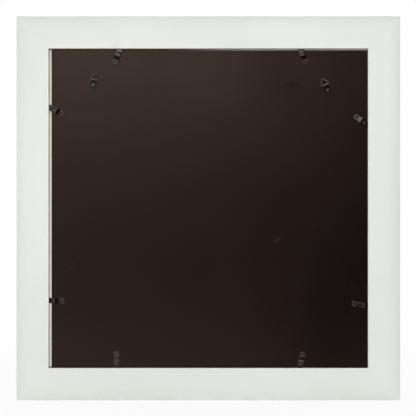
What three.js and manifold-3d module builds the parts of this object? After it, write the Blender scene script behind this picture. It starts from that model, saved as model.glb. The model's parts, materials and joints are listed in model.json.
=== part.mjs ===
// Multi-photo picture frame: white mitred moulding, glazing, window mat, square prints and a dark backing
// board that bending tabs hold in the rabbet, with two ring hangers riveted to the board.
// Millimetres, +Z up. The front faces -Y and the back faces +Y, towards the wall.
// The origin is the centre of the back plane. Left and right are named as seen from the back.

import * as THREE from 'three';
import { mergeVertices } from 'three/addons/utils/BufferGeometryUtils.js';
import Module from 'manifold-3d';

const wasm = await Module();
wasm.setup();

// Prints and the mat over them
const GRID_COUNT = 3;
const PRINT_SIDE = 100;
const PRINT_THICKNESS = 0.3;
const PRINT_OVERLAP = 2.5;
const MAT_BAR = 20;
const MAT_MARGIN = 37.5;
const MAT_THICKNESS = 1.5;

// Glazing and backing board
const GLAZING_THICKNESS = 2;
const BOARD_THICKNESS = 2.5;

// How loosely the sheets lie in the rabbet
const RABBET_PLAY = 3.6;
const SHEET_EDGE_GAP = 0.4;
const BOARD_RIGHT_GAP = 0.3;
const BOARD_BOTTOM_GAP = 0.5;
const BOARD_EXTRA_HEIGHT = 1.4;
const LAYER_GAP = 0.15;

// Moulding profile
const RAIL_BACK_WIDTH = 41;
const RAIL_DEPTH = 20;
const LIP_WIDTH = 6.5;
const LIP_THICKNESS = 6.5;
const ROUND_OVER_WIDTH = 18;
const ROUND_OVER_DROP = 4.8;
const FRONT_EDGE_RADIUS = 2;
const SIGHT_EDGE_BEVEL = 3;
const MITRE_GAP = 0.3;

// Corner nails across the mitres
const NAIL_LEG = 6;
const NAIL_THICKNESS = 0.8;
const NAIL_HEIGHT = 10;
const NAIL_COVER = 2.5;
const NAIL_EDGE_INSET = 12;

// Bending tabs
const TAB_REACH = 21;
const TAB_WIDTH = 7.4;
const TAB_THICKNESS = 0.6;
const TAB_LIFT = 1.4;
const TAB_RISE = 0.4;
const TAB_STEP_RUN = 3.2;
const TAB_TIP_DROP = 0.3;
const TAB_NECK_WIDTH = 6.8;
const TAB_NECK_LENGTH = 3;
const TAB_SHOULDER_RUN = 1.2;
const TAB_WAIST_WIDTH = 6.4;
const TAB_HEAD_RADIUS = 3.9;
const TAB_HOLE_RADIUS = 1.3;
const TAB_ROOT_DEPTH = 9;
const TAB_ROOT_PROUD = 0.7;
const TAB_BEND_GAP = 0.9;
const TAB_RIB_WIDTH = 0.9;
const TAB_RIB_HEIGHT = 0.4;
const TAB_RIB_MARGIN = 1;
const TAB_RIB_FIRST = 3.7;
const TAB_RIB_PITCH = 2.2;
const TAB_RIB_COUNT = 2;

// Hangers: strap folded round a triangular ring, riveted to the board
const STRAP_SHEET = 0.8;
const STRAP_WIDTH = 8;
const STRAP_LOOP_WIDTH = 7;
const STRAP_TAPER = 2;
const STRAP_TAIL = 3.4;
const RING_WIRE_RADIUS = 0.75;
const RING_BASE = 11.6;
const RING_HEIGHT = 9.3;
const RING_CORNER = 1.8;
const RING_BAR_FROM_RIVET = 7.8;
const RIVET_HEAD_RADIUS = 2.3;
const RIVET_HEAD_HEIGHT = 1.1;
const RIVET_SHANK_RADIUS = 1.25;
const RIVET_TAIL_RADIUS = 2.2;
const RIVET_TAIL_THICKNESS = 0.6;

// Clearance between pieces that fit together, and how far a cutter runs past what it cuts
const FIT_GAP = 0.3;
const CUT_PAST = 1;

// Facets of round stretches
const ROUND_OVER_FACETS = 8;
const EDGE_FACETS = 4;
const HEAD_FACETS = 20;
const HOLE_FACETS = 14;
const LATHE_FACETS = 20;
const DOME_FACETS = 4;
const RING_STEPS = 54;
const RING_FACETS = 8;
const SQUARE_FACETS = 4;

// Where each tab stands: inset of its root from the nearest rabbet corner, how far its tip leans towards
// that corner, in degrees, and where along it the step down to the board begins.
// end is +1 for the corner at the +X end of the side as it is built.
const SIDES = [
  {
    name: 'top',
    corner: 'top_left',
    tabs: [
      { name: 'top_left', end: 1, inset: 89.7, lean: 19, step: 9.8 },
      { name: 'top_right', end: -1, inset: 85, lean: 21, step: 9.5 },
    ],
  },
  {
    name: 'left',
    corner: 'bottom_left',
    tabs: [
      { name: 'left_bottom', end: 1, inset: 85.2, lean: 4, step: 7.6 },
      { name: 'left_top', end: -1, inset: 73.9, lean: -25, step: 11.2 },
    ],
  },
  {
    name: 'bottom',
    corner: 'bottom_right',
    tabs: [
      { name: 'bottom_right', end: 1, inset: 86.4, lean: 14, step: 7.4 },
      { name: 'bottom_left', end: -1, inset: 85.8, lean: 1, step: 7.4 },
    ],
  },
  {
    name: 'right',
    corner: 'top_right',
    tabs: [
      { name: 'right_top', end: 1, inset: 96.7, lean: 36, step: 11 },
      { name: 'right_bottom', end: -1, inset: 78.1, lean: -9, step: 8.6 },
    ],
  },
];

// Where each hanger's rivet stands on the board, from its side edge and its top edge, and its tilt in degrees
const HANGERS = [
  { name: 'left', side: 1, sideInset: 52.5, topInset: 44.9, tilt: -14 },
  { name: 'right', side: -1, sideInset: 50.2, topInset: 50.8, tilt: 26 },
];

// Sizes that follow
const WINDOW_SIDE = PRINT_SIDE - 2 * PRINT_OVERLAP;
const WINDOW_PITCH = WINDOW_SIDE + MAT_BAR;
const BOARD_WIDTH = (GRID_COUNT - 1) * WINDOW_PITCH + WINDOW_SIDE + 2 * MAT_MARGIN;
const BOARD_HEIGHT = BOARD_WIDTH + BOARD_EXTRA_HEIGHT;
const RABBET_SIDE = BOARD_WIDTH + RABBET_PLAY;
const SHEET_SIDE = RABBET_SIDE - 2 * SHEET_EDGE_GAP;
const HALF_RABBET = RABBET_SIDE / 2;
const HALF_OUTER = HALF_RABBET + RAIL_BACK_WIDTH;

// Depths of the layers, from the lip towards the back plane at zero
const LIP_BACK = LIP_THICKNESS - RAIL_DEPTH;
const GLAZING_FRONT = LIP_BACK + LAYER_GAP;
const MAT_FRONT = GLAZING_FRONT + GLAZING_THICKNESS + LAYER_GAP;
const PRINT_FRONT = MAT_FRONT + MAT_THICKNESS + LAYER_GAP;
const BOARD_FRONT = PRINT_FRONT + PRINT_THICKNESS + LAYER_GAP;
const BOARD_BACK = BOARD_FRONT + BOARD_THICKNESS;

// Centre of the board, which has slid to the right and down in the rabbet
const BOARD_CENTRE_X = BOARD_RIGHT_GAP + BOARD_WIDTH / 2 - HALF_RABBET;
const BOARD_CENTRE_Z = BOARD_BOTTOM_GAP + BOARD_HEIGHT / 2 - HALF_RABBET;

// Finishes
const FINISH = {
  paint: { color: 0xe7e9e4, roughness: 0.5, metalness: 0 },
  steel: { color: 0x9a9a98, roughness: 0.4, metalness: 1 },
  glass: { color: 0xeef4f2, roughness: 0.05, metalness: 0 },
  mat: { color: 0xf2efe6, roughness: 0.9, metalness: 0 },
  print: { color: 0x8fa3b0, roughness: 0.35, metalness: 0 },
  board: { color: 0x2b2320, roughness: 0.5, metalness: 0 },
  blackSteel: { color: 0x1b1a1c, roughness: 0.35, metalness: 0.6 },
};

// A named piece of the frame
function piece(name, geometry, finish) {
  const mesh = new THREE.Mesh(geometry, new THREE.MeshStandardMaterial(finish));
  mesh.name = name;
  return mesh;
}

// A closed solid from a geometry, with shared corners joined
function solid(geometry) {
  const bare = geometry.clone();
  bare.deleteAttribute('normal');
  bare.deleteAttribute('uv');
  const welded = mergeVertices(bare);
  return new wasm.Manifold(
    new wasm.Mesh({
      numProp: 3,
      vertProperties: Float32Array.from(welded.attributes.position.array),
      triVerts: Uint32Array.from(welded.index.array),
    }),
  );
}

// A geometry from a solid
function surface(body) {
  const mesh = body.getMesh();
  const geometry = new THREE.BufferGeometry();
  geometry.setAttribute('position', new THREE.BufferAttribute(mesh.vertProperties, 3));
  geometry.setIndex(new THREE.BufferAttribute(mesh.triVerts, 1));
  geometry.computeVertexNormals();
  return geometry;
}

// A block between two corners
function block(low, high) {
  const size = high.map((value, axis) => value - low[axis]);
  const geometry = new THREE.BoxGeometry(...size);
  geometry.translate(...low.map((value, axis) => value + size[axis] / 2));
  return geometry;
}

// An upright round rod along Y
function rod(radius, low, high, facets) {
  const geometry = new THREE.CylinderGeometry(radius, radius, high - low, facets);
  geometry.translate(0, (low + high) / 2, 0);
  return geometry;
}

// A plate of an outline drawn in X and Z, from one depth to another
function plate(outline, low, high, facets) {
  const options = { depth: high - low, bevelEnabled: false, curveSegments: facets };
  const geometry = new THREE.ExtrudeGeometry(outline, options);
  geometry.rotateX(Math.PI / 2);
  geometry.translate(0, high, 0);
  return geometry;
}

// Profile of the moulding: x is the inset from the outer edge, y the depth
function railProfile() {
  const roundOver = (ROUND_OVER_WIDTH ** 2 + ROUND_OVER_DROP ** 2) / (2 * ROUND_OVER_DROP);
  const sweep = Math.asin(ROUND_OVER_WIDTH / roundOver);
  const sightEdge = RAIL_BACK_WIDTH + LIP_WIDTH;
  const points = [new THREE.Vector2(RAIL_BACK_WIDTH, 0)];
  for (let step = 0; step <= ROUND_OVER_FACETS; step += 1) {
    const angle = (sweep * step) / ROUND_OVER_FACETS;
    const inset = ROUND_OVER_WIDTH - roundOver * Math.sin(angle);
    points.push(new THREE.Vector2(inset, roundOver * (Math.cos(angle) - 1)));
  }
  for (let step = 0; step <= EDGE_FACETS; step += 1) {
    const angle = (Math.PI / 2) * (step / EDGE_FACETS);
    const inset = FRONT_EDGE_RADIUS * (1 - Math.cos(angle));
    points.push(new THREE.Vector2(inset, FRONT_EDGE_RADIUS * (1 - Math.sin(angle)) - RAIL_DEPTH));
  }
  points.push(new THREE.Vector2(sightEdge - SIGHT_EDGE_BEVEL, -RAIL_DEPTH));
  points.push(new THREE.Vector2(sightEdge, SIGHT_EDGE_BEVEL - RAIL_DEPTH));
  points.push(new THREE.Vector2(sightEdge, LIP_BACK));
  points.push(new THREE.Vector2(RAIL_BACK_WIDTH, LIP_BACK));
  return new THREE.Shape(points);
}

// The top rail, mitred at both ends: each line of the profile is as long as its inset allows
function mitredRail() {
  const mitreInset = MITRE_GAP * Math.SQRT1_2;
  const geometry = new THREE.ExtrudeGeometry(railProfile(), { depth: 1, bevelEnabled: false });
  const corners = geometry.attributes.position;
  for (let index = 0; index < corners.count; index += 1) {
    const height = HALF_OUTER - corners.getX(index);
    const end = 2 * corners.getZ(index) - 1;
    corners.setXYZ(index, end * (height - mitreInset), corners.getY(index), height);
  }
  return geometry;
}

// How far along the mitre each corner nail stands from the centre of the frame
function nailPlaces() {
  return [
    { name: 'outer', at: HALF_OUTER - NAIL_EDGE_INSET },
    { name: 'inner', at: HALF_RABBET + NAIL_EDGE_INSET },
  ];
}

// The bent corner nail at the +X end: one leg in this rail, the other in the next
function cornerNail(at) {
  const half = NAIL_THICKNESS / 2;
  const outline = new THREE.Shape([
    new THREE.Vector2(at + half, at + half),
    new THREE.Vector2(at - NAIL_LEG, at + half),
    new THREE.Vector2(at - NAIL_LEG, at - half),
    new THREE.Vector2(at - half, at - half),
    new THREE.Vector2(at - half, at - NAIL_LEG),
    new THREE.Vector2(at + half, at - NAIL_LEG),
  ]);
  return plate(outline, -NAIL_COVER - NAIL_HEIGHT, -NAIL_COVER);
}

// The blind pocket for one leg of a corner nail, at either end of a rail
function nailPocket(at, end) {
  const half = NAIL_THICKNESS / 2 + FIT_GAP;
  const reach = [at - NAIL_LEG - FIT_GAP, at + half];
  const along = reach.map((value) => end * value).sort((a, b) => a - b);
  const depth = [-NAIL_COVER - NAIL_HEIGHT - FIT_GAP, FIT_GAP - NAIL_COVER];
  return block([along[0], depth[0], at - half], [along[1], depth[1], at + half]);
}

// Where a tab leaves the rabbet wall of its side, and the turn that points its X axis along the strip
function tabPlace(tab) {
  const lean = THREE.MathUtils.degToRad(tab.lean) * tab.end;
  return {
    lean,
    turn: Math.PI / 2 - lean,
    at: [tab.end * (HALF_RABBET - tab.inset), BOARD_BACK + FIT_GAP + TAB_LIFT, HALF_RABBET],
  };
}

// Corners of a tab's underside, from the wall: level neck, rise to the crown, step down, slope to the tip
function tabUnderside(step) {
  return [
    [-TAB_ROOT_DEPTH, 0],
    [TAB_NECK_LENGTH, 0],
    [step, TAB_RISE],
    [step + TAB_STEP_RUN, TAB_TIP_DROP - TAB_LIFT],
    [TAB_REACH, -TAB_LIFT],
  ];
}

// Side view of a tab
function tabProfile(step) {
  const under = tabUnderside(step).map((corner) => new THREE.Vector2(...corner));
  const over = under.map((corner) => new THREE.Vector2(corner.x, corner.y + TAB_THICKNESS));
  return new THREE.Shape([...under, ...over.reverse()]);
}

// Plan of a tab: neck, body, waist and pierced round head
function tabOutline(step) {
  const shoulder = TAB_NECK_LENGTH + TAB_SHOULDER_RUN;
  const stepEnd = step + TAB_STEP_RUN;
  const headCentre = TAB_REACH - TAB_HEAD_RADIUS;
  const waistAngle = Math.PI - Math.asin(TAB_WAIST_WIDTH / 2 / TAB_HEAD_RADIUS);
  const outline = new THREE.Shape();
  outline.moveTo(-TAB_ROOT_DEPTH, -TAB_NECK_WIDTH / 2);
  outline.lineTo(TAB_NECK_LENGTH, -TAB_NECK_WIDTH / 2);
  outline.lineTo(shoulder, -TAB_WIDTH / 2);
  outline.lineTo(step, -TAB_WIDTH / 2);
  outline.lineTo(stepEnd, -TAB_WAIST_WIDTH / 2);
  outline.absarc(headCentre, 0, TAB_HEAD_RADIUS, -waistAngle, waistAngle, false);
  outline.lineTo(stepEnd, TAB_WAIST_WIDTH / 2);
  outline.lineTo(step, TAB_WIDTH / 2);
  outline.lineTo(shoulder, TAB_WIDTH / 2);
  outline.lineTo(TAB_NECK_LENGTH, TAB_NECK_WIDTH / 2);
  outline.lineTo(-TAB_ROOT_DEPTH, TAB_NECK_WIDTH / 2);
  return outline;
}

// Ribs pressed up across a tab's body
function tabRibs(step) {
  const half = TAB_WIDTH / 2 - TAB_RIB_MARGIN;
  const slope = TAB_RISE / (step - TAB_NECK_LENGTH);
  const ribs = [];
  for (let rib = 0; rib < TAB_RIB_COUNT; rib += 1) {
    const start = TAB_RIB_FIRST + rib * TAB_RIB_PITCH;
    const lift = slope * (start + TAB_RIB_WIDTH / 2 - TAB_NECK_LENGTH);
    const low = [start, lift + TAB_THICKNESS / 2, -half];
    const high = [start + TAB_RIB_WIDTH, lift + TAB_THICKNESS + TAB_RIB_HEIGHT, half];
    ribs.push(block(low, high));
  }
  return ribs;
}

// One whole tab strip, along +X from the rabbet wall
function tabStrip(step) {
  const width = Math.max(TAB_WIDTH, 2 * TAB_HEAD_RADIUS) + 2 * CUT_PAST;
  const low = -TAB_LIFT - CUT_PAST;
  const high = TAB_RISE + TAB_THICKNESS + CUT_PAST;
  const profile = new THREE.ExtrudeGeometry(tabProfile(step), { depth: width, bevelEnabled: false });
  profile.translate(0, 0, -width / 2);
  const plan = plate(tabOutline(step), low, high, HEAD_FACETS);
  const hole = rod(TAB_HOLE_RADIUS, low, high, HOLE_FACETS);
  hole.translate(TAB_REACH - TAB_HEAD_RADIUS, 0, 0);
  let strip = solid(profile).intersect(solid(plan)).subtract(solid(hole));
  for (const rib of tabRibs(step)) {
    strip = strip.add(solid(rib));
  }
  return strip;
}

// The part of a strip between two distances from the rabbet wall
function cutTab(strip, lean, near, far) {
  const reach = TAB_REACH + TAB_ROOT_DEPTH;
  const cutter = block([near, -reach, -reach], [far, reach, reach]);
  cutter.rotateY(lean);
  return surface(strip.intersect(solid(cutter)));
}

// The slot in the rabbet wall that holds a tab's root
function tabSlot(place) {
  const half = TAB_NECK_WIDTH / 2 + FIT_GAP;
  const low = [-TAB_ROOT_DEPTH - FIT_GAP, -FIT_GAP, -half];
  const high = [TAB_ROOT_PROUD + TAB_NECK_WIDTH, TAB_THICKNESS + FIT_GAP, half];
  const slot = block(low, high);
  slot.rotateY(place.turn);
  slot.translate(...place.at);
  return slot;
}

// One side of the frame, built as the top side: rail, corner nails and tabs
function makeSide(side) {
  const group = new THREE.Group();
  let rail = solid(mitredRail());
  for (const nail of nailPlaces()) {
    rail = rail.subtract(solid(nailPocket(nail.at, 1)));
    rail = rail.subtract(solid(nailPocket(nail.at, -1)));
    group.add(piece(`corner_nail_${side.corner}_${nail.name}`, cornerNail(nail.at), FINISH.steel));
  }
  const reach = TAB_REACH + TAB_ROOT_DEPTH;
  for (const tab of side.tabs) {
    const place = tabPlace(tab);
    const strip = tabStrip(tab.step);
    rail = rail.subtract(solid(tabSlot(place)));
    const holder = new THREE.Group();
    holder.position.set(...place.at);
    holder.rotation.y = place.turn;
    const root = cutTab(strip, place.lean, -reach, TAB_ROOT_PROUD);
    const leaf = cutTab(strip, place.lean, TAB_ROOT_PROUD + TAB_BEND_GAP, reach);
    holder.add(piece(`tab_root_${tab.name}`, root, FINISH.blackSteel));
    holder.add(piece(`tab_${tab.name}`, leaf, FINISH.blackSteel));
    group.add(holder);
  }
  group.add(piece(`rail_${side.name}`, surface(rail), FINISH.paint));
  return group;
}

// Centres of the windows, from the top row down, and from the viewer's left in front
function windowCentres() {
  const centres = [];
  const middle = (GRID_COUNT - 1) / 2;
  for (let row = 0; row < GRID_COUNT; row += 1) {
    for (let column = 0; column < GRID_COUNT; column += 1) {
      centres.push({
        name: `row${row + 1}_col${column + 1}`,
        x: (column - middle) * WINDOW_PITCH,
        z: (middle - row) * WINDOW_PITCH,
      });
    }
  }
  return centres;
}

// A sheet that lies square in the rabbet
function sheet(front, thickness) {
  const half = SHEET_SIDE / 2;
  return block([-half, front, -half], [half, front + thickness, half]);
}

// The mat, with a window cut at 45 degrees over each print
function makeMat() {
  let mat = solid(sheet(MAT_FRONT, MAT_THICKNESS));
  const cornerRadius = (half) => half * Math.SQRT2;
  for (const centre of windowCentres()) {
    const backHalf = WINDOW_SIDE / 2 - CUT_PAST;
    const frontHalf = WINDOW_SIDE / 2 + MAT_THICKNESS + CUT_PAST;
    const depth = MAT_THICKNESS + 2 * CUT_PAST;
    const cutter = new THREE.CylinderGeometry(
      cornerRadius(backHalf),
      cornerRadius(frontHalf),
      depth,
      SQUARE_FACETS,
    );
    cutter.rotateY(Math.PI / SQUARE_FACETS);
    cutter.translate(centre.x, MAT_FRONT + MAT_THICKNESS / 2, centre.z);
    mat = mat.subtract(solid(cutter));
  }
  return piece('window_mat', surface(mat), FINISH.mat);
}

// The prints, one behind each window
function makePrints() {
  const half = PRINT_SIDE / 2;
  return windowCentres().map((centre) => {
    const geometry = block([-half, 0, -half], [half, PRINT_THICKNESS, half]);
    geometry.translate(centre.x, PRINT_FRONT, centre.z);
    return piece(`print_${centre.name}`, geometry, FINISH.print);
  });
}

// Where a hanger's rivet goes through the board
function rivetPlace(hanger) {
  return {
    x: BOARD_CENTRE_X + hanger.side * (BOARD_WIDTH / 2 - hanger.sideInset),
    z: BOARD_CENTRE_Z + BOARD_HEIGHT / 2 - hanger.topInset,
  };
}

// The backing board, pierced for the rivets and recessed in front for their tails
function makeBoard() {
  const half = [BOARD_WIDTH / 2, BOARD_HEIGHT / 2];
  const plain = block([-half[0], BOARD_FRONT, -half[1]], [half[0], BOARD_BACK, half[1]]);
  plain.translate(BOARD_CENTRE_X, 0, BOARD_CENTRE_Z);
  let board = solid(plain);
  const low = BOARD_FRONT - CUT_PAST;
  const recessBack = BOARD_FRONT + RIVET_TAIL_THICKNESS + 2 * FIT_GAP;
  for (const hanger of HANGERS) {
    const place = rivetPlace(hanger);
    const hole = rod(RIVET_SHANK_RADIUS + FIT_GAP, low, BOARD_BACK + CUT_PAST, LATHE_FACETS);
    const recess = rod(RIVET_TAIL_RADIUS + FIT_GAP, low, recessBack, LATHE_FACETS);
    for (const cutter of [hole, recess]) {
      cutter.translate(place.x, 0, place.z);
      board = board.subtract(solid(cutter));
    }
  }
  return piece('backing_board', surface(board), FINISH.board);
}

// Heights of a hanger over the back of the board: the strap lies on it, folded round the ring's bar
const STRAP_LOOP_RADIUS = RING_WIRE_RADIUS + FIT_GAP + STRAP_SHEET;
const STRAP_TOP = FIT_GAP + 2 * STRAP_SHEET;
const RING_BAR_HEIGHT = FIT_GAP + STRAP_LOOP_RADIUS;

// The strap: a strip folded in two round the bar, with a round end and a rivet hole
function makeStrap(hanger) {
  const loop = RING_BAR_FROM_RIVET;
  const meet = Math.asin((RING_BAR_HEIGHT - STRAP_TOP) / STRAP_LOOP_RADIUS);
  const profile = new THREE.Shape();
  profile.moveTo(-STRAP_TAIL, FIT_GAP);
  profile.lineTo(loop, FIT_GAP);
  profile.absarc(loop, RING_BAR_HEIGHT, STRAP_LOOP_RADIUS, -Math.PI / 2, Math.PI + meet, false);
  profile.lineTo(-STRAP_TAIL, STRAP_TOP);
  const eye = new THREE.Path();
  eye.absarc(loop, RING_BAR_HEIGHT, RING_WIRE_RADIUS + FIT_GAP, 0, 2 * Math.PI, true);
  profile.holes.push(eye);
  const options = { depth: STRAP_WIDTH, bevelEnabled: false, curveSegments: HOLE_FACETS };
  const folded = new THREE.ExtrudeGeometry(profile, options);
  folded.rotateY(-Math.PI / 2);
  folded.translate(STRAP_WIDTH / 2, 0, 0);

  const endRadius = STRAP_WIDTH / 2;
  const loopHalf = STRAP_LOOP_WIDTH / 2;
  const past = loop + STRAP_LOOP_RADIUS + CUT_PAST;
  const narrow = loop - STRAP_LOOP_RADIUS;
  const plan = new THREE.Shape();
  plan.moveTo(loopHalf, past);
  plan.lineTo(-loopHalf, past);
  plan.lineTo(-loopHalf, narrow);
  plan.lineTo(-endRadius, narrow - STRAP_TAPER);
  plan.absarc(0, endRadius - STRAP_TAIL, endRadius, Math.PI, 2 * Math.PI, false);
  plan.lineTo(endRadius, narrow - STRAP_TAPER);
  plan.lineTo(loopHalf, narrow);
  const high = RING_BAR_HEIGHT + STRAP_LOOP_RADIUS + CUT_PAST;
  const trimmed = solid(folded).intersect(solid(plate(plan, -CUT_PAST, high, HEAD_FACETS)));
  const hole = rod(RIVET_SHANK_RADIUS + FIT_GAP, -CUT_PAST, high, LATHE_FACETS);
  return piece(`hanger_strap_${hanger.name}`, surface(trimmed.subtract(solid(hole))), FINISH.blackSteel);
}

// The wire of a ring: a triangle with round corners, its bar on the X axis and its top along +Z
function ringPath() {
  const corners = [
    new THREE.Vector3(-RING_BASE / 2, 0, 0),
    new THREE.Vector3(RING_BASE / 2, 0, 0),
    new THREE.Vector3(0, 0, RING_HEIGHT),
  ];
  const toward = (from, to) => from.clone().add(to.clone().sub(from).setLength(RING_CORNER));
  const path = new THREE.CurvePath();
  corners.forEach((corner, index) => {
    const before = corners[(index + 2) % corners.length];
    const after = corners[(index + 1) % corners.length];
    const leave = toward(corner, after);
    path.add(new THREE.QuadraticBezierCurve3(toward(corner, before), corner, leave));
    path.add(new THREE.LineCurve3(leave, toward(after, corner)));
  });
  return path;
}

// The ring leans back on its bar until its top nearly lies on the board
function makeRing(hanger) {
  const wire = new THREE.TubeGeometry(ringPath(), RING_STEPS, RING_WIRE_RADIUS, RING_FACETS, true);
  const ring = piece(`hanger_ring_${hanger.name}`, surface(solid(wire)), FINISH.blackSteel);
  ring.position.set(0, RING_BAR_HEIGHT, RING_BAR_FROM_RIVET);
  ring.rotation.x = Math.asin((RING_BAR_HEIGHT - RING_WIRE_RADIUS - FIT_GAP) / RING_HEIGHT);
  return ring;
}

// The rivet: domed head over the strap, shank through strap and board, clinched tail in the board
function makeRivet(hanger) {
  const headBase = STRAP_TOP + FIT_GAP;
  const tailFront = FIT_GAP - BOARD_THICKNESS;
  const tailBack = tailFront + RIVET_TAIL_THICKNESS;
  const dome = (RIVET_HEAD_RADIUS ** 2 + RIVET_HEAD_HEIGHT ** 2) / (2 * RIVET_HEAD_HEIGHT);
  const sweep = Math.asin(RIVET_HEAD_RADIUS / dome);
  const profile = [
    new THREE.Vector2(0, tailFront),
    new THREE.Vector2(RIVET_TAIL_RADIUS, tailFront),
    new THREE.Vector2(RIVET_TAIL_RADIUS, tailBack),
    new THREE.Vector2(RIVET_SHANK_RADIUS, tailBack),
    new THREE.Vector2(RIVET_SHANK_RADIUS, headBase),
  ];
  for (let step = DOME_FACETS; step > 0; step -= 1) {
    const angle = (sweep * step) / DOME_FACETS;
    const height = headBase + RIVET_HEAD_HEIGHT - dome * (1 - Math.cos(angle));
    profile.push(new THREE.Vector2(dome * Math.sin(angle), height));
  }
  profile.push(new THREE.Vector2(0, headBase + RIVET_HEAD_HEIGHT));
  const lathe = new THREE.LatheGeometry(profile, LATHE_FACETS);
  return piece(`hanger_rivet_${hanger.name}`, surface(solid(lathe)), FINISH.blackSteel);
}

// One hanger on the back of the board
function makeHanger(hanger) {
  const place = rivetPlace(hanger);
  const group = new THREE.Group();
  group.position.set(place.x, BOARD_BACK, place.z);
  group.rotation.y = THREE.MathUtils.degToRad(hanger.tilt);
  group.add(makeStrap(hanger), makeRing(hanger), makeRivet(hanger));
  return group;
}

// The whole frame
const photoFrame = new THREE.Group();
SIDES.forEach((side, turn) => {
  const group = makeSide(side);
  group.rotation.y = (turn * Math.PI) / 2;
  photoFrame.add(group);
});
photoFrame.add(piece('glazing', sheet(GLAZING_FRONT, GLAZING_THICKNESS), FINISH.glass));
photoFrame.add(makeMat());
photoFrame.add(...makePrints());
photoFrame.add(makeBoard());
photoFrame.add(...HANGERS.map(makeHanger));

export default photoFrame;
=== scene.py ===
"""Looks of a multi-photo frame seen from its back: white moulding, dark board, black tabs and hangers.

Metres, +Z up. The front faces -Y and the back faces +Y. Left and right are named as seen from the back.
"""

import json
import math

import bmesh
import bpy
from mathutils import Color, Matrix, Vector
from mathutils.geometry import delaunay_2d_cdt, interpolate_bezier


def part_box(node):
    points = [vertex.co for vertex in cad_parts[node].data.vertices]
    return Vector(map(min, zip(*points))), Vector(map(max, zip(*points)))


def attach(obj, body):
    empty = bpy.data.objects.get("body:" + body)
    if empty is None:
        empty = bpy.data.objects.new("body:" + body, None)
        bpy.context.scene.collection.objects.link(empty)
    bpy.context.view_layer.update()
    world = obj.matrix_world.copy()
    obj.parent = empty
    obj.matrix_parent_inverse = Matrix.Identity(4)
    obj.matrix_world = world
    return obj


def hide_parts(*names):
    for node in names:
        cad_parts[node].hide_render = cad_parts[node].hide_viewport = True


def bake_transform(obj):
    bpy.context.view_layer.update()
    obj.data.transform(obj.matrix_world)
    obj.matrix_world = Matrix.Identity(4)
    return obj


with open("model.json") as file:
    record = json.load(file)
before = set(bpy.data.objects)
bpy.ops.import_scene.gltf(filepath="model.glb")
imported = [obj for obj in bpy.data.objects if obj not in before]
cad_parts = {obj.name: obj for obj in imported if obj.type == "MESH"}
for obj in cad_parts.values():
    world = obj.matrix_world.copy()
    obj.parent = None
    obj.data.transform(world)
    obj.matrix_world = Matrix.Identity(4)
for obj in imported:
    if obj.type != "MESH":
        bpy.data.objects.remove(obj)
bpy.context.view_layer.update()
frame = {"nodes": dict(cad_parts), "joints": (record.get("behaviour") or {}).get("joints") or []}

MM = 0.001
QUARTER_TURN = math.radians(90)
OUT_OF_BACK = Vector((0, 1, 0))
JOINTS = {joint["name"]: joint for joint in frame["joints"]}

# Sizes read from the frame
RAIL_LOW, RAIL_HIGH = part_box("rail_top")
HALF_OUTER = RAIL_HIGH.z
RAIL_DEPTH = RAIL_HIGH.y - RAIL_LOW.y
SIGHT_WIDTH = RAIL_HIGH.z - RAIL_LOW.z
BOARD_LOW, BOARD_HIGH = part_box("backing_board")
BOARD_THICKNESS = BOARD_HIGH.y - BOARD_LOW.y

# Moulding profile
LIP_WIDTH = 6.5 * MM
LIP_THICKNESS = 6.5 * MM
ROUND_OVER_WIDTH = 18 * MM
ROUND_OVER_DROP = 4.8 * MM
OUTER_ARRIS = 0.7 * MM
RABBET_ARRIS = 0.25 * MM
FRONT_EDGE_RADIUS = 2 * MM
SIGHT_EDGE_BEVEL = 3 * MM
SIGHT_ARRIS = 0.6 * MM
MITRE_HAIRLINE = 0.02 * MM
ROUND_OVER_STEPS = 28
ARC_STEPS = 6
RAIL_WIDTH = SIGHT_WIDTH - LIP_WIDTH
HALF_RABBET = HALF_OUTER - RAIL_WIDTH
LIP_BACK = LIP_THICKNESS - RAIL_DEPTH
# Place of the bare fibreboard among the finishes of the moulding
BARE = 1

# Backing board
BOARD_EDGE = 0.3 * MM
BOARD_EDGE_STEPS = 2
BOARD_HOLE_RADIUS = 1.55 * MM
SMUDGE_PLACE = (-103 * MM, 155 * MM)
SMUDGE_REACH = 16 * MM
SCRATCH_PLACES = (
    (-86 * MM, -35 * MM),
    (-131 * MM, -26 * MM),
    (-169 * MM, -24 * MM),
    (-183 * MM, -92 * MM),
    (19 * MM, -188 * MM),
    (174 * MM, -77 * MM),
)
SCRATCH_REACH = 18 * MM
SCRATCH_TURN = math.radians(50)
# Waves per metre across the scratches, through the board and along the scratches
SCRATCH_WAVES = (430, 1, 60)

# Brown painted shade on the mat's back, for the dark gaps beside the board: it fades to the right along
# the top, and to the left along the bottom
PAINTED_SHADE_FAINT = 0.4
PAINTED_SHADE_EDGE = (0.986 * HALF_RABBET, 0.991 * HALF_RABBET)
PAINTED_SHADE_CORNER = (0.98 * HALF_RABBET, 0.986 * HALF_RABBET)
PAINTED_SHADE_TOP_FADE = (-60 * MM, 60 * MM)
PAINTED_SHADE_BOTTOM_FADE = (70 * MM, 190 * MM)

# Bending tabs: how far each tip leans towards the nearest corner, in degrees, where its step begins,
# and how far it is worn bare by rubbing, which also makes a painted highlight, from 0 to 1
TABS = {
    "top_left": (19, 9.8 * MM, 0.3),
    "top_right": (21, 9.5 * MM, 0.35),
    "left_top": (-25, 11.2 * MM, 0.35),
    "left_bottom": (4, 7.6 * MM, 0.4),
    "bottom_left": (1, 7.4 * MM, 0.4),
    "bottom_right": (14, 7.4 * MM, 0.5),
    "right_top": (36, 11 * MM, 0),
    "right_bottom": (-9, 8.6 * MM, 0.4),
}
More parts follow.
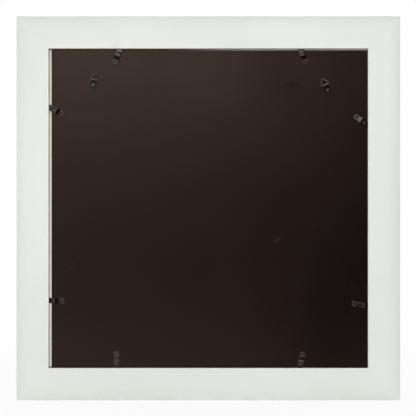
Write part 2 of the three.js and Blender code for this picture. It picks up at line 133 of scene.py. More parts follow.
# Mesh attribute for steel worn bare by rubbing, which also paints highlights on ribs, hole rings and
# the strap's fold
RUB_AND_HIGHLIGHT = "rub_and_highlight"
RUB_AND_HIGHLIGHT_EASE = 0.5 * MM
RUB_AND_HIGHLIGHT_MARGIN = 0.9 * MM
TAB_REACH = 21 * MM
TAB_WIDTH = 7.4 * MM
TAB_THICKNESS = 0.6 * MM
TAB_LIFT = 1.4 * MM
TAB_RISE = 0.4 * MM
TAB_STEP_RUN = 3.2 * MM
TAB_TIP_DROP = 0.3 * MM
TAB_BEND_SOFTNESS = 0.8 * MM
TAB_BEND_SAMPLES = 8
TAB_NECK_WIDTH = 6.8 * MM
TAB_NECK_LENGTH = 3 * MM
TAB_SHOULDER_RUN = 1.2 * MM
TAB_WAIST_WIDTH = 6.4 * MM
TAB_HEAD_RADIUS = 3.9 * MM
TAB_HEAD = Vector((TAB_REACH - TAB_HEAD_RADIUS, 0))
TAB_HOLE_RADIUS = 1.3 * MM
TAB_ROOT_DEPTH = 9 * MM
TAB_RIB_WIDTH = 0.9 * MM
TAB_RIB_HEIGHT = 0.4 * MM
TAB_RIB_MARGIN = 1 * MM
TAB_RIB_EASE = 0.35 * MM
TAB_RIB_STARTS = (3.7 * MM, 5.9 * MM)
TAB_RIM = 0.1 * MM
TAB_ROW = 0.3 * MM
TAB_COLUMN = 0.6 * MM
TAB_EDGE_CLEARANCE = 0.35 * MM
TAB_HEAD_STEPS = 40
TAB_HOLE_STEPS = 28
TAB_SLOT_GAP = 0.3 * MM

# Hangers
STRAP_SHEET = 0.8 * MM
STRAP_SEAM = 0.05 * MM
STRAP_RIM = 0.14 * MM
STRAP_LIFT = 0.3 * MM
STRAP_WIDTH = 8 * MM
STRAP_LOOP_WIDTH = 7 * MM
STRAP_TAPER = 2 * MM
STRAP_TAIL = 3.4 * MM
STRAP_RUN_STEPS = 14
STRAP_END_STEPS = 12
STRAP_LOOP_STEPS = 30
STRAP_LOOP_END = math.radians(165)
STRAP_SETTLE = 2.4 * MM
RING_WIRE_RADIUS = 0.75 * MM
RING_BASE = 11.6 * MM
RING_HEIGHT = 9.3 * MM
RING_CORNER = 1.8 * MM
RING_CORNER_STEPS = 12
RING_SIDES = 20
RING_REST_GAP = 0.3 * MM
RIVET_HEAD_RADIUS = 2.3 * MM
RIVET_SHANK_RADIUS = 1.25 * MM
RIVET_TAIL_RADIUS = 2.2 * MM
RIVET_TAIL_THICKNESS = 0.6 * MM
RIVET_TAIL_INSET = 0.3 * MM
RIVET_SEAT = 0.04 * MM
RIVET_RIM = 0.25 * MM
RIVET_DOME_STEPS = 10
LATHE_STEPS = 40

# Shading and cutting
SHARP_ANGLE = math.radians(32)
CUT_PAST = 1 * MM
WELD = 0.001 * MM

# Camera, set square to the back as in the photograph
CAMERA_DISTANCE = 2.5
CAMERA_SHIFT_X = 0.44 * MM
CAMERA_SHIFT_Z = 0.38 * MM
CAMERA_LENS_MM = 171.3
CAMERA_SENSOR_MM = 36


def tone(red, green, blue):
    """A colour written as screen values from 0 to 255, as the linear values that shaders take."""
    full = 255
    colour = Color((red / full, green / full, blue / full)).from_srgb_to_scene_linear()
    return (*colour, 1.0)


# Steel bare of its black from rubbing: a light colour that also serves as a painted highlight
RUB_AND_HIGHLIGHT_TONE = tone(152, 134, 126)

# Plain noise mostly stays between these values, at which a finish reaches its two shades
NOISE_LOW = 0.3
NOISE_HIGH = 0.7


class Finish:
    """A material's node tree, with short calls for the nodes that the finishes share."""

    def __init__(self, name):
        self.material = bpy.data.materials.new(name)
        self.material.use_nodes = True
        self.tree = self.material.node_tree
        self.tree.nodes.clear()
        self.shader = self.add("ShaderNodeBsdfPrincipled")
        self.output = self.add("ShaderNodeOutputMaterial", {"Surface": self.shader.outputs["BSDF"]})
        self.coordinates = self.add("ShaderNodeTexCoord")
        self.place = self.coordinates.outputs["Object"]

    def add(self, kind, inputs=None, **settings):
        """A new node. An input is a plain value or the output of another node."""
        node = self.tree.nodes.new(kind)
        for name, value in settings.items():
            setattr(node, name, value)
        for name, value in (inputs or {}).items():
            self.feed(node.inputs[name], value)
        return node

    def feed(self, socket, value):
        if isinstance(value, bpy.types.NodeSocket):
            self.tree.links.new(value, socket)
        else:
            socket.default_value = value

    def noise(self, scale, detail=2.0, vector=None, stretch=None, distortion=0.0):
        """Noise from 0 to 1. Its scale is in waves per metre, or per unit of a given vector."""
        vector = vector or self.place
        if stretch:
            scaled = self.add("ShaderNodeVectorMath", {0: vector, 1: stretch}, operation="MULTIPLY")
            vector = scaled.outputs["Vector"]
        inputs = {"Vector": vector, "Scale": scale, "Detail": detail, "Distortion": distortion}
        return self.add("ShaderNodeTexNoise", inputs).outputs["Fac"]

    def math(self, operation, first, second=0.0):
        return self.add("ShaderNodeMath", {0: first, 1: second}, operation=operation).outputs["Value"]

    def times(self, value, share):
        return self.math("MULTIPLY", value, share)

    def span(self, value, start, end, low=0.0, high=1.0):
        """A soft step from low to high as a value goes from start to end."""
        inputs = {"Value": value, "From Min": start, "From Max": end, "To Min": low, "To Max": high}
        return self.add("ShaderNodeMapRange", inputs, interpolation_type="SMOOTHSTEP").outputs["Result"]

    def wander(self, noise, low, high):
        """A value that wanders between two others with a noise."""
        return self.span(noise, NOISE_LOW, NOISE_HIGH, low, high)

    def ramp(self, value, start, end):
        """A colour ramp between two stops of position and colour."""
        node = self.add("ShaderNodeValToRGB", {"Fac": value})
        for element, (position, colour) in zip(node.color_ramp.elements, (start, end)):
            element.position = position
            element.color = colour
        return node.outputs["Color"]

    def shades(self, noise, first, second):
        """A colour that wanders between two shades with a noise."""
        return self.ramp(noise, (NOISE_LOW, first), (NOISE_HIGH, second))

    def mix(self, share, first, second):
        node = self.add("ShaderNodeMix", data_type="RGBA")
        factor, colour_a, colour_b, mixed = 0, 6, 7, 2
        self.feed(node.inputs[factor], share)
        self.feed(node.inputs[colour_a], first)
        self.feed(node.inputs[colour_b], second)
        return node.outputs[mixed]

    def bump(self, height, depth, strength=1.0):
        inputs = {"Height": height, "Distance": depth, "Strength": strength}
        return self.add("ShaderNodeBump", inputs).outputs["Normal"]

    def near(self, point, reach):
        """A soft spot: 1 at a point, fading to 0 at its reach."""
        inputs = {0: self.place, 1: point}
        distance = self.add("ShaderNodeVectorMath", inputs, operation="DISTANCE").outputs["Value"]
        return self.span(distance, start=0.0, end=reach, low=1.0, high=0.0)

    def split(self, vector):
        parts = self.add("ShaderNodeSeparateXYZ", {"Vector": vector}).outputs
        return parts["X"], parts["Y"], parts["Z"]

    def rub_and_highlight(self):
        """How far the mesh says that the surface is worn bare by rubbing, which also stands for a
        painted highlight.
        """
        return self.add("ShaderNodeAttribute", attribute_name=RUB_AND_HIGHLIGHT).outputs["Fac"]

    def cover(self, share, shader):
        """Puts another shader over the main one, by a share."""
        inputs = {0: share, 1: self.shader.outputs["BSDF"], 2: shader}
        covered = self.add("ShaderNodeMixShader", inputs).outputs["Shader"]
        self.feed(self.output.inputs["Surface"], covered)

    def done(self, colour, roughness, normal=None, others=None):
        """Feeds the main shader and gives the material."""
        inputs = {"Base Color": colour, "Roughness": roughness, **(others or {})}
        if normal:
            inputs["Normal"] = normal
        for name, value in inputs.items():
            self.feed(self.shader.inputs[name], value)
        return self.material


def white_paint():
    """Sprayed satin paint: faint broad shade, fine orange peel and a few specks."""
    finish = Finish("white_paint")
    broad = finish.noise(scale=7, detail=3)
    paint = finish.shades(broad, tone(228, 231, 225), tone(233, 235, 230))
    specks = finish.span(finish.noise(scale=520, detail=1), start=0.76, end=0.82)
    colour = finish.mix(finish.times(specks, share=0.25), paint, tone(196, 196, 186))
    roughness = finish.wander(finish.noise(scale=55, detail=4), low=0.56, high=0.66)
    peel = finish.noise(scale=480, detail=2)
    normal = finish.bump(peel, depth=0.03 * MM, strength=0.6)
    return finish.done(colour, roughness, normal, {"Specular IOR Level": 0.1})


def raw_fibreboard():
    """Bare core in the rabbet: pale on the sides as painted light for the side gaps, with brown fibres
    along the top and bottom.
    """
    finish = Finish("raw_fibreboard")
    _, _, height = finish.split(finish.place)
    fibres = finish.noise(scale=900, detail=4)
    pale = finish.shades(fibres, tone(222, 218, 208), tone(236, 233, 224))
    brown = finish.shades(fibres, tone(112, 90, 70), tone(152, 128, 104))
    level = finish.math("ABSOLUTE", height)
    wall_start = 0.99 * HALF_RABBET
    level_wall = finish.span(level, wall_start, HALF_RABBET)
    # The pale side walls are painted light that brightens the gaps beside the board
    colour = finish.mix(level_wall, pale, brown)
    normal = finish.bump(fibres, depth=0.12 * MM, strength=0.7)
    return finish.done(colour, roughness=0.85, normal=normal)


def board_scratches(finish):
    """Short slanting scratches, only near a few places on the board."""
    turned = {"Vector": finish.place, "Angle": SCRATCH_TURN}
    slanting = finish.add("ShaderNodeVectorRotate", turned, rotation_type="Y_AXIS").outputs["Vector"]
    bands = finish.noise(scale=1, detail=1, vector=slanting, stretch=SCRATCH_WAVES)
    places = 0.0
    for across, up in SCRATCH_PLACES:
        spot = finish.near((across, BOARD_HIGH.y, up), SCRATCH_REACH)
        places = finish.math("MAXIMUM", places, spot)
    return finish.times(finish.span(bands, start=0.61, end=0.69), places)


def board_face():
    """Dark film on the board: warm sheen, faint mottling, dust, thin scratches and a matt smudge."""
    finish = Finish("board_face")
    film = finish.shades(finish.noise(scale=16, detail=5), tone(6, 5, 4), tone(9, 7, 6))
    dust = finish.span(finish.noise(scale=650, detail=1), start=0.74, end=0.8)
    marks = finish.math("MAXIMUM", board_scratches(finish), finish.times(dust, share=0.3))
    colour = finish.mix(finish.times(marks, share=0.22), film, tone(92, 80, 72))

    across, up = SMUDGE_PLACE
    patchy = finish.span(finish.noise(scale=110, detail=5), start=0.42, end=0.62)
    smudge = finish.times(finish.near((across, BOARD_HIGH.y, up), SMUDGE_REACH), patchy)
    roughness = finish.wander(finish.noise(scale=9, detail=5), low=0.285, high=0.325)
    roughness = finish.math("ADD", roughness, finish.times(smudge, share=0.32))
    normal = finish.bump(finish.noise(scale=1500, detail=3), depth=0.015 * MM, strength=0.6)
    shine = {"Specular IOR Level": 0.25, "Specular Tint": tone(255, 215, 201)}
    return finish.done(colour, roughness, normal, shine)


def board_core():
    """Brown pressed fibres at the cut edges of the board."""
    finish = Finish("board_core")
    fibres = finish.noise(scale=1100, detail=4)
    colour = finish.shades(fibres, tone(58, 45, 36), tone(92, 74, 60))
    normal = finish.bump(fibres, depth=0.1 * MM)
    return finish.done(colour, roughness=0.9, normal=normal)


def black_steel():
    """Black-coated spring steel, bare at worn edges, with lighter rubbing marks that are partly painted
    highlight.
    """
    finish = Finish("black_steel")
    edges = finish.add("ShaderNodeNewGeometry").outputs["Pointiness"]
    worn = finish.span(edges, start=0.54, end=0.6)
    uneven = finish.span(finish.noise(scale=420, detail=3), start=0.45, end=0.65)
    wear = finish.times(finish.times(worn, uneven), share=0.5)
    # Lighter, more metallic and rougher where the mesh marks rubbing: partly wear, partly a painted
    # highlight
    rub_and_highlight = finish.rub_and_highlight()
    wear = finish.math("MAXIMUM", wear, finish.times(rub_and_highlight, share=0.3))
    coat = finish.shades(finish.noise(scale=260, detail=3), tone(9, 8, 7), tone(15, 13, 12))
    roughness = finish.wander(finish.noise(scale=700, detail=2), low=0.15, high=0.21)
    roughness = finish.math("ADD", roughness, finish.times(rub_and_highlight, share=0.12))
    normal = finish.bump(finish.noise(scale=1300, detail=2), depth=0.02 * MM, strength=0.5)
    colour = finish.mix(wear, coat, RUB_AND_HIGHLIGHT_TONE)
    shine = {"Metallic": wear, "Specular IOR Level": 0.4, "Specular Tint": tone(255, 232, 220)}
    return finish.done(colour, roughness, normal, shine)


def strap_black():
    """Black lacquer on the straps, with a little dust, and a painted highlight along the crest of the
    fold.
    """
    finish = Finish("strap_black")
    dust = finish.span(finish.noise(scale=1500, detail=2), start=0.55, end=0.75, high=0.3)
    lacquer = finish.mix(dust, tone(7, 6, 5), tone(22, 19, 17))
    # Lighter and rougher along the crest of the fold: a painted highlight
    rub_and_highlight = finish.rub_and_highlight()
    colour = finish.mix(finish.times(rub_and_highlight, share=0.35), lacquer, RUB_AND_HIGHLIGHT_TONE)
    roughness = finish.wander(finish.noise(scale=500, detail=3), low=0.17, high=0.23)
    roughness = finish.math("ADD", roughness, finish.times(rub_and_highlight, share=0.2))
    normal = finish.bump(finish.noise(scale=1800, detail=3), depth=0.01 * MM, strength=0.3)
    shine = {"Specular IOR Level": 0.12, "Specular Tint": tone(255, 226, 212)}
    return finish.done(colour, roughness, normal, shine)


def dark_wire():
    """Dark oxide on the wire rings and rivets, which still shine as metal."""
    finish = Finish("dark_wire")
    patches = finish.noise(scale=900, detail=3)
    colour = finish.shades(patches, tone(70, 64, 60), tone(88, 81, 76))
    roughness = finish.wander(patches, low=0.18, high=0.27)
    normal = finish.bump(finish.noise(scale=2200, detail=2), depth=0.01 * MM, strength=0.5)
    return finish.done(colour, roughness, normal, {"Metallic": 1.0})


def nail_steel():
    """Bright stamped steel with fine drawing lines."""
    finish = Finish("nail_steel")
    lines = finish.noise(scale=1, detail=3, stretch=(300, 4000, 300))
    colour = finish.shades(lines, tone(138, 138, 136), tone(176, 176, 174))
    roughness = finish.wander(lines, low=0.28, high=0.45)
    normal = finish.bump(lines, depth=0.02 * MM)
    return finish.done(colour, roughness, normal, {"Metallic": 1.0})


def clear_glass():
    """Picture glass that lets lamps through to what it covers, with faint dust."""
    finish = Finish("clear_glass")
    wiped = finish.span(finish.noise(scale=30, detail=5), start=0.35, end=0.7, high=0.04)
    path = finish.add("ShaderNodeLightPath").outputs
    lamp_rays = finish.math("MAXIMUM", path["Is Shadow Ray"], path["Is Diffuse Ray"])
    clear = finish.add("ShaderNodeBsdfTransparent", {"Color": tone(250, 252, 251)}).outputs["BSDF"]
    finish.cover(lamp_rays, clear)
    glass = {"IOR": 1.5, "Transmission Weight": 1.0}
    return finish.done(tone(250, 253, 251), wiped, others=glass)


def mat_painted_shade(finish):
    """How far the mat's back carries painted shade: along its top and bottom edges, each fading towards
    one end.
    """
    along, _, height = finish.split(finish.place)
    level = finish.math("ABSOLUTE", height)
    at_edge = finish.span(level, *PAINTED_SHADE_EDGE)
    at_top = finish.span(height, start=-MM, end=MM)
    at_bottom = finish.math("SUBTRACT", 1.0, at_top)
    top = finish.times(at_top, finish.span(along, *PAINTED_SHADE_TOP_FADE, PAINTED_SHADE_FAINT, 1.0))
    bottom = finish.times(at_bottom, finish.span(along, *PAINTED_SHADE_BOTTOM_FADE, 1.0, PAINTED_SHADE_FAINT))
    corner = finish.span(along, *PAINTED_SHADE_CORNER, 1.0, PAINTED_SHADE_FAINT)
    share = finish.math("MINIMUM", finish.math("ADD", top, bottom), corner)
    return finish.times(at_edge, share)


def mat_board():
    """Cream mat card, whiter on its cut bevels, with brown painted shade along the edges of its back.
    """
    finish = Finish("mat_board")
    facing = finish.add("ShaderNodeNewGeometry").outputs["Normal"]
    _, outward, _ = finish.split(facing)
    tilted, square = 0.8, 0.95
    at_front = finish.span(outward, -tilted, -square)
    at_back = finish.span(outward, tilted, square)
    fibres = finish.noise(scale=1400, detail=4)
    cream = finish.shades(fibres, tone(232, 228, 216), tone(240, 237, 227))
    core = finish.shades(fibres, tone(244, 243, 238), tone(251, 250, 246))
    back = finish.shades(fibres, tone(224, 218, 203), tone(234, 228, 215))
    colour = finish.mix(at_back, finish.mix(at_front, core, cream), back)
    # Brown painted shade where the gaps beside the board fall dark
    colour = finish.mix(finish.times(at_back, mat_painted_shade(finish)), colour, tone(84, 58, 36))
    normal = finish.bump(fibres, depth=0.03 * MM, strength=0.6)
    return finish.done(colour, roughness=0.9, normal=normal)


# Pictures in the windows, row by row as seen from the front: plain made-up landscapes.
# Each ridge gives its height, swell, number of waves and colour, from the far one to the near one.
# Colours are screen values from 0 to 255.
PICTURES = {
    "row1_col1": {
        "sky": ((112, 140, 176), (246, 206, 170)),
        "disc": (0.66, 0.54, 0.05, (255, 238, 200)),
        "ridges": (
            (0.46, 0.24, 0.5, (150, 140, 160)),
            (0.36, 0.22, 0.8, (104, 104, 124)),
            (0.22, 0.18, 1.2, (58, 66, 74)),
        ),
    },
    "row1_col2": {
        "sky": ((86, 142, 196), (212, 229, 238)),
        "ridges": (
            (0.44, 0.00, 1.0, (60, 124, 152)),
            (0.20, 0.05, 1.5, (214, 196, 160)),
        ),
    },
    "row1_col3": {
        "sky": ((188, 198, 200), (226, 228, 224)),
        "ridges": (
            (0.60, 0.26, 5.0, (164, 176, 174)),
            (0.45, 0.26, 6.0, (104, 122, 116)),
            (0.27, 0.28, 7.0, (48, 64, 58)),
        ),
    },
    "row2_col1": {
        "sky": ((90, 150, 200), (192, 216, 228)),
        "ridges": (
            (0.50, 0.34, 0.35, (224, 178, 120)),
            (0.35, 0.36, 0.45, (204, 146, 88)),
            (0.18, 0.28, 0.3, (162, 104, 60)),
        ),
    },
    "row2_col2": {
        "sky": ((60, 104, 164), (170, 202, 228)),
        "ridges": (
            (0.56, 0.95, 0.65, (234, 240, 246)),
            (0.36, 0.50, 1.0, (146, 168, 190)),
            (0.18, 0.20, 3.0, (56, 72, 70)),
        ),
    },
    "row2_col3": {
        "sky": ((120, 176, 220), (228, 238, 240)),
        "ridges": (
            (0.46, 0.20, 0.8, (126, 154, 130)),
            (0.38, 0.18, 0.5, (116, 156, 78)),
            (0.22, 0.16, 0.6, (86, 130, 52)),
        ),
    },
    "row3_col1": {
        "sky": ((72, 60, 106), (250, 164, 100)),
        "disc": (0.40, 0.50, 0.06, (255, 224, 158)),
        "ridges": (
            (0.44, 0.00, 1.0, (104, 78, 100)),
            (0.14, 0.20, 1.2, (38, 32, 42)),
        ),
    },
    "row3_col2": {
        "sky": ((14, 22, 48), (66, 90, 130)),
        "disc": (0.70, 0.76, 0.05, (238, 240, 228)),
        "ridges": (
            (0.42, 0.40, 0.7, (34, 48, 74)),
            (0.28, 0.26, 1.2, (20, 30, 48)),
            (0.14, 0.18, 3.0, (9, 14, 24)),
        ),
    },
    "row3_col3": {
        "sky": ((150, 176, 196), (238, 228, 210)),
        "ridges": (
            (0.52, 0.28, 0.8, (172, 146, 118)),
            (0.39, 0.20, 2.6, (190, 114, 56)),
            (0.22, 0.18, 4.0, (122, 66, 38)),
        ),
    },
}

# Skies: between which heights they change colour, and how far their clouds differ and whiten them
HORIZON = 0.4
SKY_TOP = 1.0
CLOUD_SWAY = 0.02
CLOUD_WHITENESS = 0.5

# The glow and the soft edge of a disc, in times its radius
GLOW_REACH = 6
DISC_EDGE = 0.9

# Ridges: how many start within one unit of noise, and the noise at which a crest is level
RIDGES_A_UNIT = 3
LEVEL_NOISE = 0.5


def add_clouds(finish, colour, spot, low_sky, seed):
    """Drifts of cloud over a sky."""
    drift = finish.noise(scale=3, detail=6, vector=spot, stretch=(1.0, 1.0, 3.4), distortion=0.3)
    drift = finish.math("ADD", drift, CLOUD_SWAY * math.sin(seed))
    share = finish.span(drift, start=0.5, end=0.72, high=0.55)
    cloud = finish.mix(CLOUD_WHITENESS, low_sky, tone(250, 250, 250))
    return finish.mix(share, colour, cloud)


def add_disc(finish, colour, across, up, disc):
    """A disc of light with its glow."""
    disc_across, disc_up, radius, light = disc
    light = tone(*light)
    square = 2
    sideways = finish.math("POWER", finish.math("SUBTRACT", across, disc_across), square)
    upwards = finish.math("POWER", finish.math("SUBTRACT", up, disc_up), square)
    distance = finish.math("SQRT", finish.math("ADD", sideways, upwards))
    glow = finish.span(distance, start=radius, end=GLOW_REACH * radius, low=0.6, high=0.0)
    colour = finish.mix(glow, colour, light)
    inside = finish.span(distance, start=DISC_EDGE * radius, end=radius, low=1.0, high=0.0)
    return finish.mix(inside, colour, light)


def photo_print(place, picture, seed):
    """Glossy photo paper with a made-up landscape: sky, clouds, a disc of light and rows of ridges."""
    finish = Finish("photo_" + place)
    spot = finish.coordinates.outputs["Generated"]
    across, _, up = finish.split(spot)
    high, low = [tone(*colour) for colour in picture["sky"]]
    colour = finish.ramp(up, (HORIZON, low), (SKY_TOP, high))
    colour = add_clouds(finish, colour, spot, low, seed)
    if "disc" in picture:
        colour = add_disc(finish, colour, across, up, picture["disc"])

    for order, (height, swell, waves, ridge) in enumerate(picture["ridges"]):
        shift = finish.math("ADD", finish.times(across, waves), seed + order / RIDGES_A_UNIT)
        crest = finish.add("ShaderNodeTexNoise", {"W": shift, "Detail": 3.0}, noise_dimensions="1D")
        rise = finish.times(finish.math("SUBTRACT", crest.outputs["Fac"], LEVEL_NOISE), swell)
        depth = finish.math("SUBTRACT", finish.math("ADD", rise, height), up)
        ground = finish.noise(scale=22, detail=5, vector=spot, stretch=(1.0, 1.0, 2.6))
        shadows = finish.span(ground, start=0.35, end=0.65, high=0.3)
        ridge = finish.mix(shadows, tone(*ridge), tone(20, 20, 24))
        mist = finish.span(depth, start=0.0, end=0.3, high=0.35)
        ridge = finish.mix(mist, ridge, low)
        colour = finish.mix(finish.span(depth, start=-0.003, end=0.004), colour, ridge)

    roughness = finish.wander(finish.noise(scale=300, detail=2), low=0.22, high=0.3)
    normal = finish.bump(finish.noise(scale=900, detail=2), depth=0.01 * MM, strength=0.4)
    return finish.done(colour, roughness, normal)


def make_piece(name, build, materials):
    """An object from a mesh in the making, with its finishes."""
    bmesh.ops.remove_doubles(build, verts=build.verts, dist=WELD)
    bmesh.ops.recalc_face_normals(build, faces=build.faces)
    mesh = bpy.data.meshes.new(name)
    build.to_mesh(mesh)
    build.free()
    for material in materials:
        mesh.materials.append(material)
    piece = bpy.data.objects.new(name, mesh)
    bpy.context.scene.collection.objects.link(piece)
    return piece


def settle(piece):
    """Puts a piece's modifiers into its mesh."""
    graph = bpy.context.evaluated_depsgraph_get()
    mesh = bpy.data.meshes.new_from_object(piece.evaluated_get(graph))
    mesh.name = piece.data.name
    piece.modifiers.clear()
    piece.data = mesh


def shade(piece):
    """Smooth shading up to the sharp angle, in which broad flat faces stay flat."""
    piece.data.shade_smooth()
    piece.data.set_sharp_from_angle(angle=SHARP_ANGLE)
    modifier = piece.modifiers.new("flat_faces", "WEIGHTED_NORMAL")
    modifier.keep_sharp = True
    settle(piece)


def carry(piece, body, slot, *nodes):
    """Shades a piece, sets what it moves with and hides the solids it stands for. The finish it is
    given is not used.
    """
    shade(piece)
    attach(piece, body)
    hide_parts(*nodes)


def cut(piece, cutters):
    """Cuts closed shapes out of a piece, then deletes them."""
    for cutter in cutters:
        modifier = piece.modifiers.new("cut", "BOOLEAN")
        modifier.operation = "DIFFERENCE"
        modifier.solver = "EXACT"
        modifier.object = cutter
    settle(piece)
    for cutter in cutters:
        bpy.data.objects.remove(cutter)


def turn_about(axis, angle):
    """A turn about an axis, as a matrix that takes a place too."""
    matrix_size = 4
    return Matrix.Rotation(angle, matrix_size, axis)


def block(low, high):
    """A box between two corners."""
    build = bmesh.new()
    bmesh.ops.create_cube(build, size=1)
    size = Vector(high) - Vector(low)
    middle = (Vector(high) + Vector(low)) / 2
    build.transform(Matrix.Translation(middle) @ Matrix.Diagonal((*size, 1)))
    return build


def block_cutter(low, high, place, materials, finish_index):
    """A box between two corners in a placed frame, to cut with."""
    build = block(low, high)
    build.transform(place)
    for face in build.faces:
        face.material_index = finish_index
    return make_piece("cutter", build, materials)


def rod_cutter(radius, low, high, place, materials):
    """A round rod along Y in a placed frame, to cut with."""
    build = bmesh.new()
    bmesh.ops.create_cone(
        build,
        cap_ends=True,
        segments=LATHE_STEPS,
        radius1=radius,
        radius2=radius,
        depth=high - low,
    )
    middle = Matrix.Translation((0, (low + high) / 2, 0))
    build.transform(place @ middle @ turn_about("X", QUARTER_TURN))
    return make_piece("cutter", build, materials)


def bridge(build, first, second):
    """Joins two closed rings of as many points with a band of faces."""
    faces = []
    for index, corner in enumerate(first):
        after = (index + 1) % len(first)
        faces.append(build.faces.new((corner, first[after], second[after], second[index])))
    return faces


def skin(build, rings):
    """Joins each closed ring to the next."""
    for first, second in zip(rings, rings[1:]):
        bridge(build, first, second)


def arc(middle, radius, start, end, steps):
    """Points along an arc, from its start to its end."""
    points = []
    for step in range(steps + 1):
        angle = start + (end - start) * step / steps
        points.append(middle + radius * Vector((math.cos(angle), math.sin(angle))))
    return points


def rounded(corners):
    """Points of an outline whose corners, given with a radius, are rounded by arcs."""
    points = []
    for index, (x, y, radius) in enumerate(corners):
        corner = Vector((x, y))
        if radius == 0:
            points.append(corner)
            continue
        before = Vector(corners[index - 1][:2]) - corner
        after = Vector(corners[(index + 1) % len(corners)][:2]) - corner
        before.normalize()
        after.normalize()
        half_angle = before.angle(after) / 2
        middle = corner + (before + after).normalized() * radius / math.sin(half_angle)
        start = corner + before * radius / math.tan(half_angle) - middle
        end = corner + after * radius / math.tan(half_angle) - middle
        for step in range(ARC_STEPS + 1):
            points.append(middle + radius * start.slerp(end, step / ARC_STEPS))
    return points


def rail_profile():
    """Outline of the moulding: the inset from the outer edge, and the depth from the back plane."""
    radius = (ROUND_OVER_WIDTH**2 + ROUND_OVER_DROP**2) / (2 * ROUND_OVER_DROP)
    sweep = math.asin(ROUND_OVER_WIDTH / radius)
    corners = [(RAIL_WIDTH, 0, RABBET_ARRIS)]
    for step in range(ROUND_OVER_STEPS):
        angle = sweep * step / ROUND_OVER_STEPS
        corners.append((ROUND_OVER_WIDTH - radius * math.sin(angle), radius * (math.cos(angle) - 1), 0))
    corners.append((0, -ROUND_OVER_DROP, OUTER_ARRIS))
    corners.append((0, -RAIL_DEPTH, FRONT_EDGE_RADIUS))
    corners.append((SIGHT_WIDTH - SIGHT_EDGE_BEVEL, -RAIL_DEPTH, SIGHT_ARRIS))
    corners.append((SIGHT_WIDTH, SIGHT_EDGE_BEVEL - RAIL_DEPTH, SIGHT_ARRIS))
    corners.append((SIGHT_WIDTH, LIP_BACK, RABBET_ARRIS))
    corners.append((RAIL_WIDTH, LIP_BACK, 0))
    return rounded(corners)


def in_rabbet(inset, depth):
    """Whether a point of the profile lies in the rabbet, where the moulding is left bare."""
    return inset > RAIL_WIDTH - WELD and LIP_BACK - WELD < depth < -RABBET_ARRIS / 2


def make_rail(side, turn, materials, slots):
    """One mitred rail, painted all round but for the rabbet, with the slots that hold its tabs."""
    profile = rail_profile()
    build = bmesh.new()
    rings = []
    for end in (-1, 1):
        ring = []
        for inset, depth in profile:
            height = HALF_OUTER - inset
            ring.append(build.verts.new((end * (height - MITRE_HAIRLINE), depth, height)))
        rings.append(ring)
    for index, face in enumerate(bridge(build, *rings)):
        ends = (profile[index], profile[(index + 1) % len(profile)])
        if all(in_rabbet(*point) for point in ends):
            face.material_index = BARE
    for ring in rings:
        build.faces.new(ring).material_index = BARE
    build.transform(turn)
    rail = make_piece("moulding_" + side, build, materials)
    cut(rail, slots)
    carry(rail, "frame", "white_moulding", "rail_" + side)


SIDE_TURNS = {"top": 0, "left": 90, "bottom": 180, "right": 270}
TOWARDS = {
    "left": Vector((1, 0, 0)),
    "right": Vector((-1, 0, 0)),
    "top": Vector((0, 0, 1)),
    "bottom": Vector((0, 0, -1)),
}


def tab_place(name):
    """Frame of a tab at its underside: X along the strip from the rabbet wall, Y out of the back."""
    side, corner = name.split("_")
    inward = -TOWARDS[side]
    lean = math.radians(TABS[name][0])
    along = inward * math.cos(lean) + TOWARDS[corner] * math.sin(lean)
    hinge = Vector(JOINTS[f"tab_{name}_bend"]["pos_m"])
    from_wall = HALF_RABBET - hinge.dot(TOWARDS[side])
    root = hinge - along * from_wall / math.cos(lean) - OUT_OF_BACK * TAB_THICKNESS / 2
    across = along.cross(OUT_OF_BACK)
    turn = Matrix((along, OUT_OF_BACK, across)).transposed().to_4x4()
    return Matrix.Translation(root) @ turn, inward, hinge


def tab_slot(name, materials):
    """The slot in the rabbet wall round a tab's root."""
    half = TAB_NECK_WIDTH / 2 + TAB_SLOT_GAP
    low = (-TAB_ROOT_DEPTH - TAB_SLOT_GAP, -TAB_SLOT_GAP, -half)
    high = (TAB_NECK_WIDTH, TAB_THICKNESS + TAB_SLOT_GAP, half)
    return block_cutter(low, high, tab_place(name)[0], materials, BARE)


def ease(value, start, end):
    """A soft step from 0 to 1 as a value goes from start to end."""
    share = min(max((value - start) / (end - start), 0), 1)
    return share * share * (3 - 2 * share)


def tab_half_width(along, step):
    """Half the width of a tab at a distance from the wall, up to its round head."""
    neck = TAB_NECK_WIDTH / 2
    body = TAB_WIDTH / 2
    waist = TAB_WAIST_WIDTH / 2
    shoulder = ease(along, TAB_NECK_LENGTH, TAB_NECK_LENGTH + TAB_SHOULDER_RUN)
    narrowing = ease(along, step, step + TAB_STEP_RUN)
    return neck + (body - neck) * shoulder + (waist - body) * narrowing


def tab_line(along, step):
    """Height of a tab's underside before its bends are softened: neck, crown, step and tip."""
    corners = (
        (-TAB_ROOT_DEPTH, 0),
        (TAB_NECK_LENGTH, 0),
        (step, TAB_RISE),
        (step + TAB_STEP_RUN, TAB_TIP_DROP - TAB_LIFT),
        (TAB_REACH, -TAB_LIFT),
    )
    for (start, low), (end, high) in zip(corners, corners[1:]):
        if along < end:
            break
    return low + (high - low) * (along - start) / (end - start)


def tab_ribs(along, across):
    """How far a point of a tab lies on one of the ribs across its body, from 0 to 1."""
    share = 0
    for start in TAB_RIB_STARTS:
        end = start + TAB_RIB_WIDTH
        share += ease(along, start - TAB_RIB_EASE, start) - ease(along, end, end + TAB_RIB_EASE)
    reach = TAB_WIDTH / 2 - TAB_RIB_MARGIN
    return share * (1 - ease(abs(across), reach - TAB_RIB_EASE, reach))


